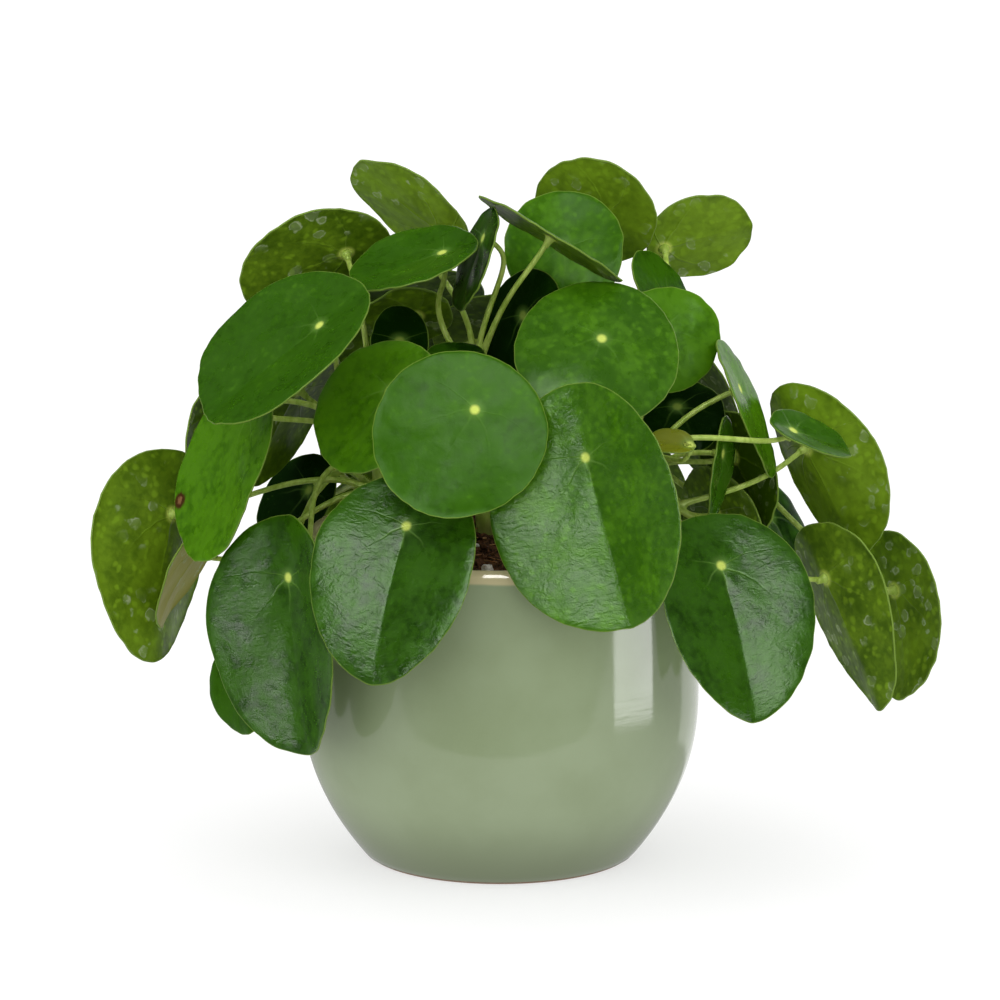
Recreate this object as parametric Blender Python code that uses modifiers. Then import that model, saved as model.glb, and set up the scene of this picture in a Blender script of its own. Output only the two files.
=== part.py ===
"""Potted pilea plant: a glazed bowl pot filled with soil, three stems with their stalks, and round leaves.

Metres, +Z up. The origin is the centre of the pot's base, and the front of the plant looks along -Y.
"""

import itertools
import math
import random
from collections import namedtuple

import bmesh
import bpy
from mathutils import Vector, noise
from mathutils.bvhtree import BVHTree

MM = 0.001

# Driving dimensions.
POT_HEIGHT = 149 * MM
BELLY_RADIUS = 90 * MM
BELLY_HEIGHT = 75 * MM
FOOT_RADIUS = 60.5 * MM
LIP_RADIUS = 87 * MM
WALL = 6 * MM
FLOOR = 8 * MM
SOIL_LEVEL = 144 * MM
SOIL_ROUGHNESS = 1.6 * MM
SOIL_CROWN = 2 * MM
GAP = 0.3 * MM
LEAF_THICKNESS = 0.8 * MM
LEAF_CLEARANCE = 0.8 * MM
POT_CLEARANCE = 2 * MM
STALK_RADIUS = 1.5 * MM
STALK_SPACING = 4.2 * MM
STEM_RADIUS = 5.5 * MM
STEM_SINK = 22 * MM

LOWER_WALL_POWER = 2.2
FOOT_CHAMFER = 1.5 * MM
INSIDE_HEIGHTS = [height * MM for height in (8, 20, 38, 62, 105)]
OUTSIDE_HEIGHTS = [height * MM for height in (112, 75, 55, 40, 27, 16, 7, 1.5)]
SOIL_RINGS = (0, 0.16, 0.32, 0.47, 0.61, 0.74, 0.87, 1)
HOLE_RADIUS = 7.4 * MM
HOLE_SIDES = 10
HOLE_SPARE_DEPTH = 3 * MM
POT_STEPS = 48
SOIL_STEPS = 36
LEAF_SPOKES = 20
LEAF_RINGS = (0.55, 1)
LEAF_RIPPLE = 0.006
LEAF_RIPPLES = 5
FOLD_SOFTNESS = 0.2
STALK_POINTS = 7
STALK_END = 3 * MM
STALK_STEP = 2 * MM
# A leaf whose hub is HIGH_HUB mm or more above the crown has its stalk at the top of the stem, and one that is
# HUB_SPAN mm lower has it at the bottom of the stem's stalk zone.
HIGH_HUB = 50
HUB_SPAN = 110
SEED = 7
MOST_DRAWS = 400

# The way that a leaf slides when it has to clear one in front of it.
BACKWARD = Vector((0, 1, -0.24)).normalized()
SLIDE_STEP = 2 * MM
MOST_SLIDES = 45

# A leaf: where its stalk meets it (mm), which way its upper face looks (bearing from the front, rise above
# level), how far its tip is turned from straight downhill (degrees), its length and width (mm), how far along its
# length the stalk meets it, how much wider its tip half is than its base half, and how far its sides are folded
# up, its whole edge is cupped up and its tip bends down (mm).
Leaf = namedtuple("Leaf", "name hub bearing rise roll length width share egg fold cup bend")

LEAVES = [
    Leaf("leaf_front_disc", (-11, -84, 221), 0, 30, -30, 78, 76, 0.32, -0.05, -2, 2, 2),
    Leaf("leaf_front_large", (37, -99, 203), -28, 8, 20, 110, 91, 0.3, 0.05, 17, 0, 0),
    Leaf("leaf_front_left", (-41, -88, 170), -14, 37, -8, 94, 73, 0.27, -0.05, 8, -4, 6),
    Leaf("leaf_hanging_left", (-94, -62, 141), -46, 5, 11, 107, 80, 0.26, -0.1, 18, 1, 0),
    Leaf("leaf_right_disc", (98, -55, 145), 20, 38, 3, 96, 71, 0.27, -0.05, 12, -3, 4),
    Leaf("leaf_upper_disc", (45, -38, 244), 8, 45, -26, 76, 73, 0.44, 0, -4, -4, 2),
    Leaf("leaf_upper_left", (-80, -38, 250), -52, 48, -22, 91, 87, 0.29, 0, 9, 0, 0),
    Leaf("leaf_inner_left", (-49, -45, 222), -40, 38, -16, 66, 66, 0.36, -0.05, 2, 4, 3),
    Leaf("leaf_left_mottled", (-113, -15, 206), -62, 22, 1, 88, 74, 0.2, 0, 5, 0, 0),
    Leaf("leaf_left_narrow", (-137, 5, 138), -113, 32, 34, 60, 56, 0.36, -0.05, 3, -3, 3),
    Leaf("leaf_far_left", (-150, 25, 151), -128, -6, 22, 98, 76, 0.3, -0.2, 14, 0, 0),
    Leaf("leaf_low_left", (-115, -40, 93), -47, 16, 0, 44, 42, 0.36, -0.05, 2, -2, 3),
    Leaf("leaf_left_shaded", (-88, 25, 163), -45, 30, -27, 50, 44, 0.34, 0, 3, 0, 1),
    Leaf("leaf_top_left", (-70, 45, 268), -162, 35, 65, 72, 66, 0.3, 0, 2, 0, 1),
    Leaf("leaf_top_centre_left", (-27, 60, 275), 138, 37, 137, 65, 56, 0.24, 0, 2, 0, 0),
    Leaf("leaf_top_flat", (-26, 0, 276), -50, 67, -33, 60, 58, 0.28, -0.02, 4, 0, -1),
    Leaf("leaf_top_edge", (23, 0, 283), 115, 54, 140, 76, 44, 0.5, 0, -1, 0, 1),
    Leaf("leaf_top_narrow", (-8, -2, 283), -76, 21, 6, 49, 44, 0.3, 0, 1, 0, 0),
    Leaf("leaf_top_disc", (29, 40, 271), 0, 34, 0, 62, 54, 0.45, -0.05, 3, 3, 4),
    Leaf("leaf_top_back", (48, 75, 280), 160, 27, 119, 58, 58, 0.42, 0, 2, 0, 0),
    Leaf("leaf_top_right", (75, 80, 264), -168, 25, -108, 50, 46, 0.16, 0, 2, 0, 0),
    Leaf("leaf_right_shaded", (76, 40, 247), 66, 32, 2, 52, 48, 0.5, 0, 1, 0, 0),
    Leaf("leaf_right_bright", (72, 5, 240), 10, 28, 20, 48, 52, 0.4, -0.05, 2, -2, 2),
    Leaf("leaf_right_narrow", (108, 0, 214), 79, 24, 2, 67, 44, 0.36, -0.05, 2, -1, 1),
    Leaf("leaf_right_small", (100, -15, 187), 72, -2, -18, 48, 30, 0.36, -0.1, 2, -1, 1),
    Leaf("leaf_far_right_front", (131, -20, 199), 62, 58, 44, 42, 32, 0.28, -0.05, 3, 0, 0),
    Leaf("leaf_far_right_high", (139, 18, 183), 132, 12, -25, 85, 64, 0.36, 0.04, 12, 3, 0),
    Leaf("leaf_far_right_low", (147, -5, 128), 125, 10, -29, 90, 60, 0.28, -0.3, 9, 0, 0),
    Leaf("leaf_far_right_back", (181, 40, 112), 128, 0, -22, 78, 60, 0.36, -0.05, 2, -4, 4),
    Leaf("leaf_centre_dark", (10, 12, 245), -47, 16, 29, 58, 54, 0.36, -0.05, 3, -3, 3),
    Leaf("leaf_inner_dark", (-45, 0, 236), 0, 49, 0, 46, 26, 0.45, 0, 2, 0, 0),
    Leaf("leaf_inner_young", (-20, -12, 230), 0, 55, 0, 28, 28, 0.4, -0.05, 3, -2, 2),
    Leaf("leaf_inner_light", (-38, 35, 241), 180, 40, 90, 42, 40, 0.4, -0.05, 2, -2, 2),
    Leaf("leaf_right_inner", (107, 30, 177), 130, 10, -36, 60, 54, 0.36, -0.05, 2, -4, 3),
    Leaf("leaf_right_under", (124, 42, 147), 60, 34, 12, 54, 50, 0.36, -0.05, 2, -4, 3),
    Leaf("leaf_right_deep", (80, 14, 203), 0, 55, 22, 42, 40, 0.4, -0.05, 2, -3, 2),
    Leaf("leaf_young_gloss", (84, -42, 197), 0, 64, -90, 21, 18, 0.12, 0, 2, 1, 0),
    Leaf("leaf_left_sliver", (-133, 25, 195), -118, 13, 43, 44, 40, 0.36, -0.05, 2, -3, 3),
]

# A row of leaves on the back of the plant: how many, over what spread of bearings (degrees), how high and how
# far from the axis their hubs are (mm), and how far above level they look (degrees).
BackRow = namedtuple("BackRow", "name count spread height reach rise")

BACK_ROWS = [
    BackRow("back_low", 5, 150, 150, 118, 16),
    BackRow("back_middle", 5, 140, 198, 100, 26),
    BackRow("back_high", 3, 90, 240, 74, 40),
]

# A stem: where it comes out of the soil (mm, mm), where its crown is, and how far down it stalks grow (mm).
Stem = namedtuple("Stem", "name foot crown stalk_zone")

STEMS = [
    Stem("stem_main", (-6, 8), (-12, 10, 218), 60),
    Stem("stem_right", (50, 6), (60, 4, 182), 30),
    Stem("stem_left", (-48, 10), (-56, 8, 190), 36),
]

COLOURS = {
    "pot": ((0.30, 0.38, 0.27, 1), 0.18),
    "soil": ((0.045, 0.025, 0.015, 1), 0.95),
    "stem": ((0.30, 0.42, 0.12, 1), 0.5),
    "leaf": ((0.035, 0.16, 0.02, 1), 0.3),
    "young_leaf": ((0.22, 0.34, 0.04, 1), 0.25),
}


def clear_scene():
    """Removes the objects of the startup scene."""
    for obj in list(bpy.data.objects):
        bpy.data.objects.remove(obj, do_unlink=True)


def new_collection(name):
    collection = bpy.data.collections.new(name)
    bpy.context.scene.collection.children.link(collection)
    return collection


def make_material(name):
    """A plain material in the named colour."""
    colour, roughness = COLOURS[name]
    material = bpy.data.materials.new(name)
    material.use_nodes = True
    shader = material.node_tree.nodes["Principled BSDF"]
    shader.inputs["Base Color"].default_value = colour
    shader.inputs["Roughness"].default_value = roughness
    material.diffuse_color = colour
    return material


def add_object(name, data, collection, material=None):
    obj = bpy.data.objects.new(name, data)
    collection.objects.link(obj)
    if material:
        data.materials.append(material)
    return obj


def evaluated_copy(obj):
    """The object's mesh as its modifiers leave it, with loose caps welded."""
    bpy.context.view_layer.update()
    graph = bpy.context.evaluated_depsgraph_get()
    mesh = bpy.data.meshes.new_from_object(obj.evaluated_get(graph))
    bm = bmesh.new()
    bm.from_mesh(mesh)
    bmesh.ops.remove_doubles(bm, verts=bm.verts, dist=0.01 * MM)
    bm.to_mesh(mesh)
    bm.free()
    return mesh


def profile_mesh(name, points):
    """An open chain of edges through (radius, height) points in the XZ plane."""
    mesh = bpy.data.meshes.new(name)
    edges = [(i, i + 1) for i in range(len(points) - 1)]
    mesh.from_pydata([(radius, 0, height) for radius, height in points], edges, [])
    return mesh


def turn(obj, steps):
    """Turns a profile once round the Z axis."""
    screw = obj.modifiers.new("Turn", "SCREW")
    screw.axis = "Z"
    screw.steps = steps
    screw.render_steps = steps
    screw.use_merge_vertices = True
    screw.merge_threshold = 0.01 * MM
    screw.use_smooth_shade = True


def wall_radius(height):
    """Outer radius of the pot at a height: a round lower wall, and an upper wall that leans in a little."""
    if height < BELLY_HEIGHT:
        drop = (BELLY_HEIGHT - height) / BELLY_HEIGHT
        return BELLY_RADIUS - (BELLY_RADIUS - FOOT_RADIUS) * drop**LOWER_WALL_POWER
    rise = (height - BELLY_HEIGHT) / (POT_HEIGHT - BELLY_HEIGHT)
    return BELLY_RADIUS - (BELLY_RADIUS - LIP_RADIUS) * rise**2


def pot_profile():
    """From the middle of the inner floor up the inside, over the round lip and down the outside to the base."""
    lip = WALL / 2
    top = POT_HEIGHT - lip
    points = [(0, FLOOR)]
    for height in (*INSIDE_HEIGHTS, top):
        points.append((wall_radius(height) - WALL, height))
    for turn_angle in (135, 90, 45, 0):
        angle = math.radians(turn_angle)
        points.append((wall_radius(top) - lip + lip * math.cos(angle), top + lip * math.sin(angle)))
    for height in OUTSIDE_HEIGHTS:
        points.append((wall_radius(height), height))
    points.append((FOOT_RADIUS - FOOT_CHAMFER, 0))
    points.append((0, 0))
    return points


def make_pot(collection):
    """The pot, turned from its profile."""
    pot = add_object("pot", profile_mesh("pot", pot_profile()), collection, make_material("pot"))
    turn(pot, POT_STEPS)


def soil_height(x, y):
    """The lumpy top of the soil, a little crowned towards the middle."""
    lumps = noise.noise(Vector((x, y, 0)) * 90) + 0.6 * noise.noise(Vector((x, y, 0.05)) * 220)
    crown = SOIL_CROWN * (1 - (math.hypot(x, y) / BELLY_RADIUS) ** 2)
    return SOIL_LEVEL + crown + SOIL_ROUGHNESS * lumps


def make_soil(collection, cutters):
    """The root ball, turned to the inside of the pot, with its top shaped and a plain hole for each stem."""
    edge = wall_radius(SOIL_LEVEL) - WALL - 2 * GAP
    points = [(edge * share, SOIL_LEVEL) for share in SOIL_RINGS]
    for height in reversed(INSIDE_HEIGHTS):
        points.append((wall_radius(height) - WALL - 2 * GAP, max(height, FLOOR + GAP)))
    points.append((0, FLOOR + GAP))
    turned = add_object("soil_profile", profile_mesh("soil_profile", points), cutters)
    turn(turned, SOIL_STEPS)
    mesh = evaluated_copy(turned)
    bpy.data.objects.remove(turned, do_unlink=True)
    for vertex in mesh.vertices:
        if vertex.co.z > SOIL_LEVEL - 0.1 * MM:
            vertex.co.z = soil_height(vertex.co.x, vertex.co.y)
    soil = add_object("soil", mesh, collection, make_material("soil"))
    for stem in STEMS:
        cut_stem_hole(soil, stem, cutters)


def cut_stem_hole(soil, stem, cutters):
    """Cuts the plain round hole that a stem stands in."""
    bpy.ops.mesh.primitive_cylinder_add(
        vertices=HOLE_SIDES,
        radius=HOLE_RADIUS,
        depth=2 * (STEM_SINK + HOLE_SPARE_DEPTH),
        location=(stem.foot[0] * MM, stem.foot[1] * MM, SOIL_LEVEL),
    )
    cutter = bpy.context.object
    cutter.name = f"hole_{stem.name}"
    for owner in list(cutter.users_collection):
        owner.objects.unlink(cutter)
    cutters.objects.link(cutter)
    cutter.hide_render = True
    cutter.display_type = "WIRE"
    cut = soil.modifiers.new(f"Hole for {stem.name}", "BOOLEAN")
    cut.operation = "DIFFERENCE"
    cut.object = cutter


def leaf_axes(leaf):
    """The leaf's upward normal, the way to its tip, and the way across it."""
    bearing = math.radians(leaf.bearing)
    rise = math.radians(leaf.rise)
    roll = math.radians(leaf.roll)
    level = Vector((math.sin(bearing), -math.cos(bearing), 0))
    normal = level * math.cos(rise) + Vector((0, 0, math.sin(rise)))
    downhill = Vector((0, 0, -1))
    downhill = (downhill - downhill.dot(normal) * normal).normalized()
    tip = math.cos(roll) * downhill + math.sin(roll) * normal.cross(downhill)
    return normal, tip, normal.cross(tip)


def leaf_height(leaf, along, across, angle):
    """How far the blade stands off its flat plane, for places along and across it as shares of its half size."""
    fold = leaf.fold * (math.hypot(across, FOLD_SOFTNESS) - FOLD_SOFTNESS)
    cup = leaf.cup * (along**2 + across**2) / 2
    bend = leaf.bend * max(0, along) ** 2
    reach = along**2 + across**2
    wave = math.sin(LEAF_RIPPLES * angle + leaf.length + leaf.roll)
    ripple = LEAF_RIPPLE * leaf.width * reach * wave
    return (fold + cup - bend + ripple) * MM


def leaf_sheet(leaf, hub):
    """The blade's upper face as a triangle fan of rings round the stalk's place, as a bmesh."""
    normal, tip, side = leaf_axes(leaf)
    sheet = bmesh.new()
    chain = [sheet.verts.new((ring, 0, 0)) for ring in (0, *LEAF_RINGS)]
    spine = [sheet.edges.new(pair) for pair in zip(chain, chain[1:])]
    bmesh.ops.spin(
        sheet,
        geom=chain + spine,
        axis=(0, 0, 1),
        angle=math.tau,
        steps=LEAF_SPOKES,
        use_merge=True,
    )
    bmesh.ops.remove_doubles(sheet, verts=sheet.verts, dist=0.001)
    half_length = leaf.length / 2 * MM
    half_width = leaf.width / 2 * MM
    centre = (0.5 - leaf.share) * leaf.length * MM
    for vertex in sheet.verts:
        reach = vertex.co.xy.length
        angle = math.atan2(vertex.co.y, vertex.co.x)
        egg = 1 + leaf.egg * math.cos(angle)
        along = reach * (centre + half_length * math.cos(angle))
        across = reach * half_width * egg * math.sin(angle)
        off = leaf_height(leaf, along / half_length, across / half_width, angle)
        vertex.co = hub + tip * along + side * across + normal * off
    bmesh.ops.triangulate(sheet, faces=sheet.faces)
    bmesh.ops.recalc_face_normals(sheet, faces=sheet.faces)
    sheet.normal_update()
    if sum((face.normal * face.calc_area() for face in sheet.faces), Vector()).dot(normal) < 0:
        bmesh.ops.reverse_faces(sheet, faces=sheet.faces)
    return sheet


def sheet_places(sheet):
    """Places all over a blade: its corners, the middles of its edges and the middles of its triangles."""
    places = [vertex.co for vertex in sheet.verts]
    places += [(edge.verts[0].co + edge.verts[1].co) / 2 for edge in sheet.edges]
    places += [face.calc_center_median() for face in sheet.faces]
    return places


def too_close(blade, other):
    """Whether two blades meet or come nearer than a blade's thickness and the clearance."""
    least = LEAF_THICKNESS + LEAF_CLEARANCE
    if (blade.hub - other.hub).length > (blade.leaf.length + other.leaf.length) * MM:
        return False
    if blade.tree.overlap(other.tree):
        return True
    if any(other.tree.find_nearest(place, least)[0] for place in blade.places):
        return True
    return any(blade.tree.find_nearest(place, least)[0] for place in other.places)


def in_pot(place, margin):
    """Whether a place is in the pot or its soil, or nearer to them than the margin."""
    radius = place.xy.length
    if place.z > POT_HEIGHT + margin:
        return False
    if radius > wall_radius(max(0, min(place.z, POT_HEIGHT))) + margin:
        return False
    over_soil = place.z > SOIL_LEVEL + SOIL_CROWN + SOIL_ROUGHNESS + margin
    return not (over_soil and radius < LIP_RADIUS - WALL - margin)


def stem_axis(stem):
    """Places along the middle of a stem, from the soil to the crown."""
    foot = Vector((*stem.foot, SOIL_LEVEL / MM))
    return [foot.lerp(Vector(stem.crown), index / 10) * MM for index in range(11)]


def hits_stem(tree):
    """Whether a blade comes too near any of the stems."""
    reach = STEM_RADIUS + LEAF_THICKNESS + LEAF_CLEARANCE
    return any(tree.find_nearest(place, reach)[0] for stem in STEMS for place in stem_axis(stem))


class Blade:
    """A placed leaf blade: its sheet, a tree of its triangles, and where and how its stalk meets it."""

    def __init__(self, leaf, hub):
        self.leaf = leaf
        self.hub = hub
        self.normal = leaf_axes(leaf)[0]
        self.sheet = leaf_sheet(leaf, hub)
        self.tree = BVHTree.FromBMesh(self.sheet)
        self.places = sheet_places(self.sheet)

    def clear_of(self, others):
        """Whether the blade keeps its distance from the stems, the pot and the other blades."""
        if hits_stem(self.tree) or any(in_pot(place, POT_CLEARANCE) for place in self.places):
            return False
        return not any(too_close(self, other) for other in others)

    def hub_slope(self):
        """How steeply the blade falls below its plane round the hub."""
        steepest = 0
        for vertex in self.sheet.verts:
            offset = vertex.co - self.hub
            out = (offset - offset.dot(self.normal) * self.normal).length
            if 0 < out < self.leaf.width * 0.4 * MM:
                steepest = max(steepest, -offset.dot(self.normal) / out)
        return steepest


def place_leaf(leaf, placed):
    """The leaf at its hub, or as little behind it as clears the blades already placed."""
    hub = Vector(leaf.hub) * MM
    for slide in range(MOST_SLIDES):
        blade = Blade(leaf, hub + BACKWARD * SLIDE_STEP * slide)
        if blade.clear_of(placed):
            return blade
    raise RuntimeError(f"{leaf.name} finds no clear place")


def draw_back_leaf(draw, name, row, share):
    """A leaf on the back of the plant: it leans outwards and its tip hangs down."""
    bearing = 180 + row.spread * (share - 0.5) + draw.uniform(-9, 9)
    height = row.height + draw.uniform(-14, 14)
    reach = row.reach + draw.uniform(-12, 8)
    angle = math.radians(bearing)
    hub = (reach * math.sin(angle), -reach * math.cos(angle), height)
    length = draw.uniform(70, 92)
    width = length * draw.uniform(0.86, 0.96)
    facing = bearing + draw.uniform(-18, 18)
    rise = row.rise + draw.uniform(-8, 10)
    return Leaf(name, hub, facing, rise, draw.uniform(-18, 18), length, width, 0.32, -0.05, 4, -4, 5)


def place_back_leaf(draw, name, row, share, placed):
    """The first drawn leaf that clears the others, or None where the row has no room for it."""
    for _ in range(MOST_DRAWS):
        leaf = draw_back_leaf(draw, name, row, share)
        blade = Blade(leaf, Vector(leaf.hub) * MM)
        if blade.clear_of(placed):
            return blade
    return None


def place_blades():
    """Every blade in its place: the listed ones from the front backwards, and then the rows on the back."""
    placed = []
    for leaf in LEAVES:
        placed.append(place_leaf(leaf, placed))
    draw = random.Random(SEED)
    for row in BACK_ROWS:
        for index in range(row.count):
            name = f"leaf_{row.name}_{index + 1}"
            blade = place_back_leaf(draw, name, row, (index + 0.5) / row.count, placed)
            if blade:
                placed.append(blade)
    return placed


def make_blade(blade, collection, material):
    """The blade as an object, with its thickness under the sheet."""
    mesh = bpy.data.meshes.new(blade.leaf.name)
    blade.sheet.to_mesh(mesh)
    mesh.shade_smooth()
    obj = add_object(blade.leaf.name, mesh, collection, material)
    solidify = obj.modifiers.new("Thickness", "SOLIDIFY")
    solidify.thickness = LEAF_THICKNESS
    solidify.offset = -1


def bezier(start, first, second, end, share):
    """The place at a share of the way along a cubic Bezier curve."""
    left = 1 - share
    near_start = left**3 * start + 3 * left**2 * share * first
    return near_start + 3 * left * share**2 * second + share**3 * end


def along_line(points):
    """Places every STALK_STEP or less on the straight runs through the points."""
    places = []
    for start, end in zip(points, points[1:]):
        count = math.ceil((end - start).length / STALK_STEP)
        places += [start.lerp(end, index / count) for index in range(count)]
    return places + [points[-1]]


def stem_point(stem, below_crown):
    """The place on a stem's middle line at a distance in mm below its crown."""
    foot = Vector((stem.foot[0], stem.foot[1], SOIL_LEVEL / MM))
    crown = Vector(stem.crown)
    share = below_crown / (crown - foot).length
    return crown.lerp(foot, share) * MM


def stalk_route(blade, stem, choice):
    """A stalk that leaves the stem outwards and upwards and comes to the blade from below, square to it."""
    settle, lean, lift, swing, below_crown = choice
    root = stem_point(stem, below_crown)
    reach = (blade.hub - root).length
    gap = LEAF_THICKNESS + 1.5 * GAP + STALK_RADIUS * blade.hub_slope()
    end = blade.hub - blade.normal * gap
    before = end - blade.normal * STALK_END
    outward = (blade.hub - root).normalized()
    sideways = outward.cross(Vector((0, 0, 1))).normalized()
    first = root + (outward * 0.35 + Vector((0, 0, lift)) + sideways * swing) * reach
    second = before - (blade.normal + Vector((0, 0, lean))).normalized() * settle * reach
    shares = [index / (STALK_POINTS - 2) for index in range(STALK_POINTS - 1)]
    return [bezier(root, first, second, before, share) for share in shares] + [end]


def route_clear(blade, points, blades, other_stalks):
    """Whether a stalk along the points clears the pot, every blade and the other stems with their stalks."""
    reach = STALK_RADIUS + LEAF_THICKNESS + LEAF_CLEARANCE
    places = along_line(points)
    for place in places:
        if in_pot(place, POT_CLEARANCE):
            return False
        near_end = (place - points[-1]).length < 2 * reach
        for other in blades:
            if other is blade and near_end:
                continue
            if other.tree.find_nearest(place, reach)[0]:
                return False
        if any((place - taken).length < STALK_SPACING for taken in other_stalks):
            return False
    return True


def stalk_choices(blade, stem):
    """The ways to route a stalk, from the plainest to the most bent. Low leaves try to grow low on the stem."""
    above = (blade.hub.z / MM - stem.crown[2] - HIGH_HUB) / HUB_SPAN
    depth = stem.stalk_zone * min(1, max(0, -above))
    settles = (0.3, 0.15, 0.5, 0.7)
    leans = (0, 0.5, -0.5, 1)
    lifts = (0.25, 0.1, 0.45, 0.6, 0, -0.15)
    swings = (0, 0.15, -0.15, 0.3, -0.3, 0.5, -0.5, 0.75, -0.75)
    drops = [stem.stalk_zone * share for share in (0.05, 0.25, 0.5, 0.75, 1)]
    drops.sort(key=lambda drop: abs(drop - depth))
    return itertools.product(settles, leans, lifts, swings, drops)


def choose_stalk(blade, blades, taken):
    """The nearest stem and the plainest route whose stalk clears every blade and the other stems' stalks."""
    stems = sorted(STEMS, key=lambda stem: (Vector(stem.crown).xy * MM - blade.hub.xy).length)
    for stem in stems[:2]:
        others = [place for name, places in taken.items() if name != stem.name for place in places]
        for choice in stalk_choices(blade, stem):
            points = stalk_route(blade, stem, choice)
            if route_clear(blade, points, blades, others):
                return stem, points
    return None, None


def tube(name, points, radii, collection):
    """A closed round tube through the points, as a mesh object."""
    curve = bpy.data.curves.new(name, "CURVE")
    curve.dimensions = "3D"
    curve.bevel_depth = 1
    curve.bevel_resolution = 1
    curve.use_fill_caps = True
    spline = curve.splines.new("POLY")
    spline.points.add(len(points) - 1)
    for point, place, radius in zip(spline.points, points, radii):
        point.co = (*place, 1)
        point.radius = radius
    source = add_object(name, curve, collection)
    mesh = evaluated_copy(source)
    bpy.data.objects.remove(source, do_unlink=True)
    return add_object(name, mesh, collection)


def make_stem(stem, routes, collection, cutters, material):
    """The stem from its hole in the soil to its crown, with its stalks fused to it."""
    joined = new_collection(f"{stem.name}_stalks")
    foot = Vector((*stem.foot, (SOIL_LEVEL - STEM_SINK) / MM)) * MM
    collar = Vector((*stem.foot, SOIL_LEVEL / MM + 4)) * MM
    crown = Vector(stem.crown) * MM
    tip = crown + Vector((0, 0, 4 * MM))
    points = [foot, collar, collar.lerp(crown, 0.33), collar.lerp(crown, 0.66), crown, tip]
    radii = [STEM_RADIUS * share for share in (1, 1, 1, 0.9, 0.75, 0.3)]
    body = tube(stem.name, points, radii, collection)
    body.data.materials.append(material)
    for index, route in enumerate(routes):
        taper = [1.25, 1.1] + [1] * (len(route) - 4) + [0.95, 1]
        tube(f"stalk_{index}", route, [STALK_RADIUS * share for share in taper], joined)
    union = body.modifiers.new("Fuse stalks", "BOOLEAN")
    union.operation = "UNION"
    union.operand_type = "COLLECTION"
    union.collection = joined
    fused = evaluated_copy(body)
    body.modifiers.clear()
    body.data = fused
    for stalk in list(joined.objects):
        bpy.data.objects.remove(stalk, do_unlink=True)
    bpy.data.collections.remove(joined)


def main():
    clear_scene()
    plant = new_collection("potted_pilea")
    cutters = new_collection("cutters")
    cutters.hide_render = True
    make_pot(plant)
    make_soil(plant, cutters)
    blades = place_blades()
    routes = {stem.name: [] for stem in STEMS}
    taken = {stem.name: stem_axis(stem) for stem in STEMS}
    leaf_green = make_material("leaf")
    young_green = make_material("young_leaf")
    for blade in sorted(blades, key=lambda blade: -blade.hub.xy.length):
        stem, points = choose_stalk(blade, blades, taken)
        if stem:
            routes[stem.name].append(points)
            taken[stem.name] += along_line(points)
            green = young_green if blade.leaf.name == "leaf_young_gloss" else leaf_green
            make_blade(blade, plant, green)
    stem_green = make_material("stem")
    for stem in STEMS:
        make_stem(stem, routes[stem.name], plant, cutters, stem_green)


main()
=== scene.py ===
"""Looks of a potted pilea: a glazed pot of soil, fleshy stems and stalks, and round shield-shaped leaves.

Metres, +Z up. The origin is the centre of the pot's base, and the front of the plant looks along -Y.
"""

import logging
import math
import random
from collections.abc import Callable, Sequence
from dataclasses import dataclass, field
from enum import Enum
from typing import Any

import bmesh
import bpy
from mathutils import Matrix, Vector, noise
from mathutils.bvhtree import BVHTree


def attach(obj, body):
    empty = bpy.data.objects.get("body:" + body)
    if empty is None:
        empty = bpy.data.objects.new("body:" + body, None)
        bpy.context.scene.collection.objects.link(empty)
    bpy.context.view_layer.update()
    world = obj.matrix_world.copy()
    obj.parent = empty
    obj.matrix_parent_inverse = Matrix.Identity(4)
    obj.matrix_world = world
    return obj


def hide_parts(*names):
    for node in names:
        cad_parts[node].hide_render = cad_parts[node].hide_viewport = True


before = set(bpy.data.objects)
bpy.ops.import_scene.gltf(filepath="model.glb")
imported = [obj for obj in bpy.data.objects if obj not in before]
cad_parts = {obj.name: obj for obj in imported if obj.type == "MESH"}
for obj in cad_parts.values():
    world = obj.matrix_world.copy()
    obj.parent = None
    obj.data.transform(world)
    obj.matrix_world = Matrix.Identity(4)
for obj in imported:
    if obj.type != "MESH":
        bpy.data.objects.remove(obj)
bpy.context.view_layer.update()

LOG = logging.getLogger("pilea")
MM = 0.001
WELD = 0.001 * MM
BODY = "root"
Colour = tuple[float, float, float, float]
Pair = tuple[float, float]
Triple = tuple[float, float, float]
Shape = bmesh.types.BMesh
Vertex = bmesh.types.BMVert
Piece = bpy.types.Object
Material = bpy.types.Material
Socket = bpy.types.NodeSocket
Value = float | Sequence[float] | Socket


# ---- Shared helpers ----


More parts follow.
